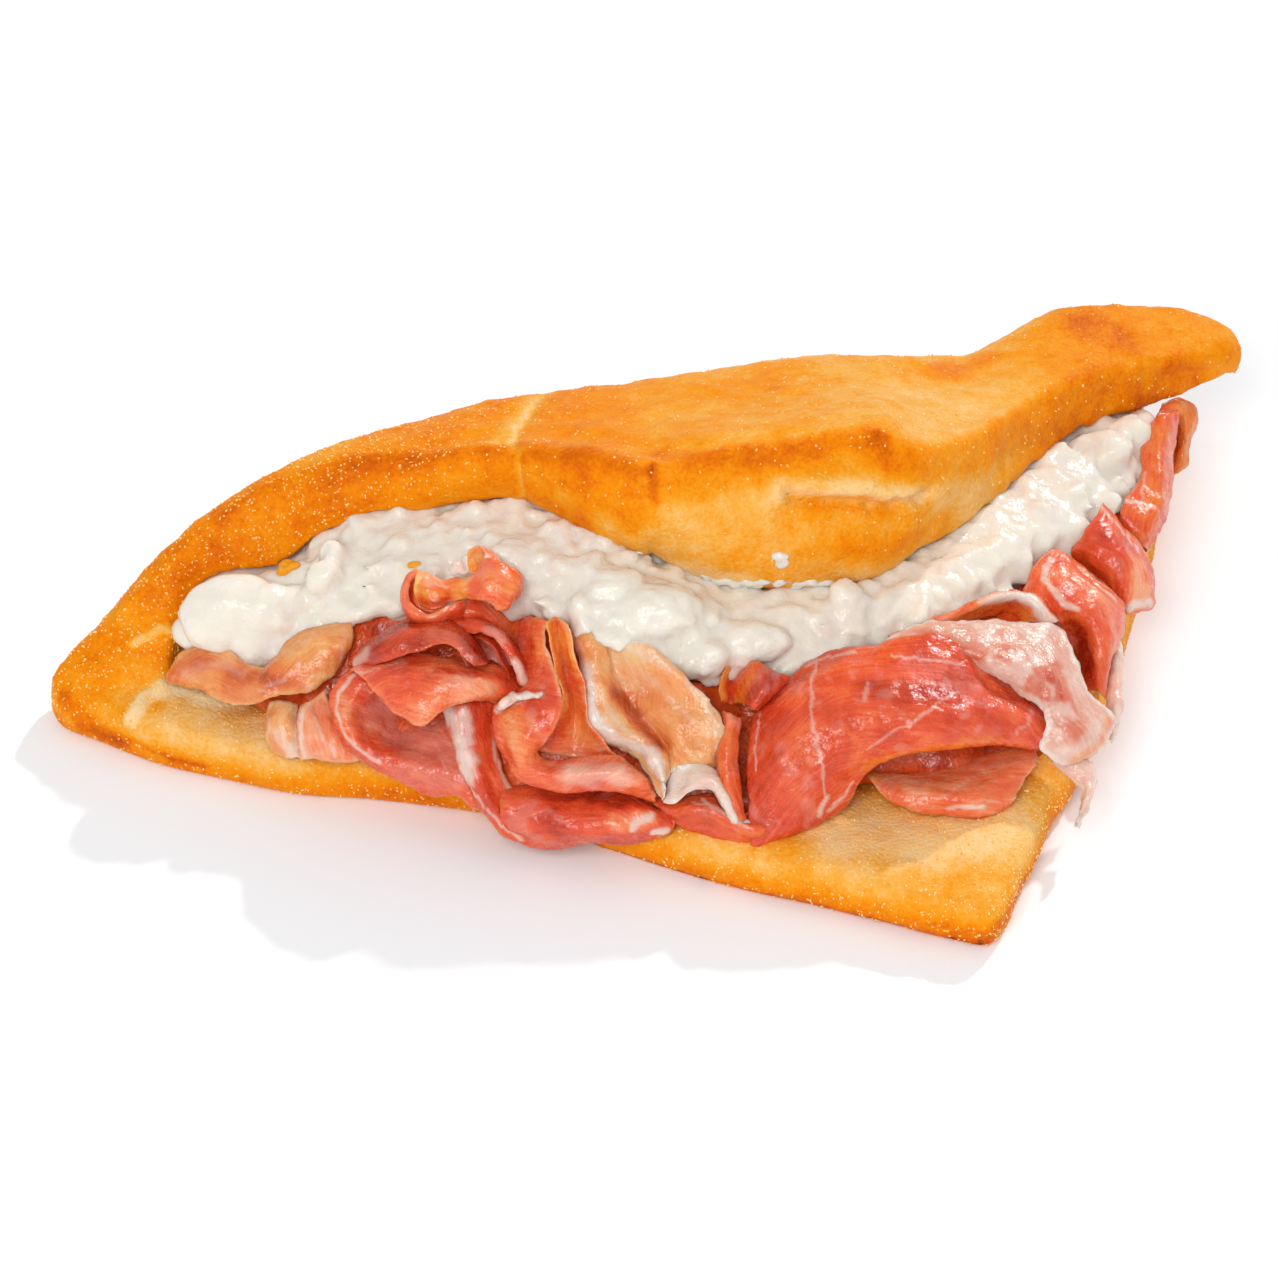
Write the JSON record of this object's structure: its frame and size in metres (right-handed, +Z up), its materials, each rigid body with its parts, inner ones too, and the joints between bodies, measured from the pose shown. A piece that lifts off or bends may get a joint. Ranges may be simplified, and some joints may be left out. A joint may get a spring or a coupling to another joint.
{
  "type": "prosciutto flatbread sandwich",
  "caption": "Wedge of puffed flatbread, slit along its front and right side, filled with creamy stringy cheese and ruffled slices of cured ham that spill over the lower leaf.",
  "frame": {"origin": "on the surface it rests on, under the middle of the sandwich's box", "axes": "+X along the long side towards the raised tongue of bread, +Y towards the hinge at the back, +Z up; the open mouth faces -Y and +X"},
  "size_m": [0.2958, 0.1937, 0.0811],
  "materials": {
    "crust": "dry baked crust, matt, dusted with semolina",
    "cheese": "wet, creamy, softly glossy",
    "ham_lean": "moist cured meat with an oily sheen",
    "ham_tan": "thin translucent slice, satin",
    "ham_fat": "soft pale fat, oily sheen"
  },
  "bodies": {
    "root": {"bread": "crust", "cheese": "cheese", "ham_back_strip": "ham_fat", "ham_big_right": "ham_lean", "ham_centre_band": "ham_lean", "ham_curl_flap": "ham_lean", "ham_curl_rim": "ham_lean", "ham_fan_back": "ham_fat", "ham_fan_mid": "ham_lean", "ham_fat_flap": "ham_fat", "ham_fat_fold": "ham_fat", "ham_fat_tail": "ham_fat", "ham_flap_left": "ham_lean", "ham_fold_high": "ham_lean", "ham_fold_low": "ham_lean", "ham_front_strand": "ham_fat", "ham_heap": "ham_lean", "ham_hollow_left": "ham_lean", "ham_left_twist": "ham_tan", "ham_low_front": "ham_lean", "ham_pale_fat": "ham_tan", "ham_ribbon_foot": "ham_lean", "ham_ribbon_lobe": "ham_lean", "ham_ribbon_neck": "ham_lean", "ham_right_arch": "ham_lean", "ham_right_back": "ham_lean", "ham_right_curl": "ham_lean", "ham_right_fold": "ham_lean", "ham_right_mid": "ham_lean", "ham_small_roll": "ham_lean", "ham_under_lip": "ham_lean"}
  },
  "joints": []
}
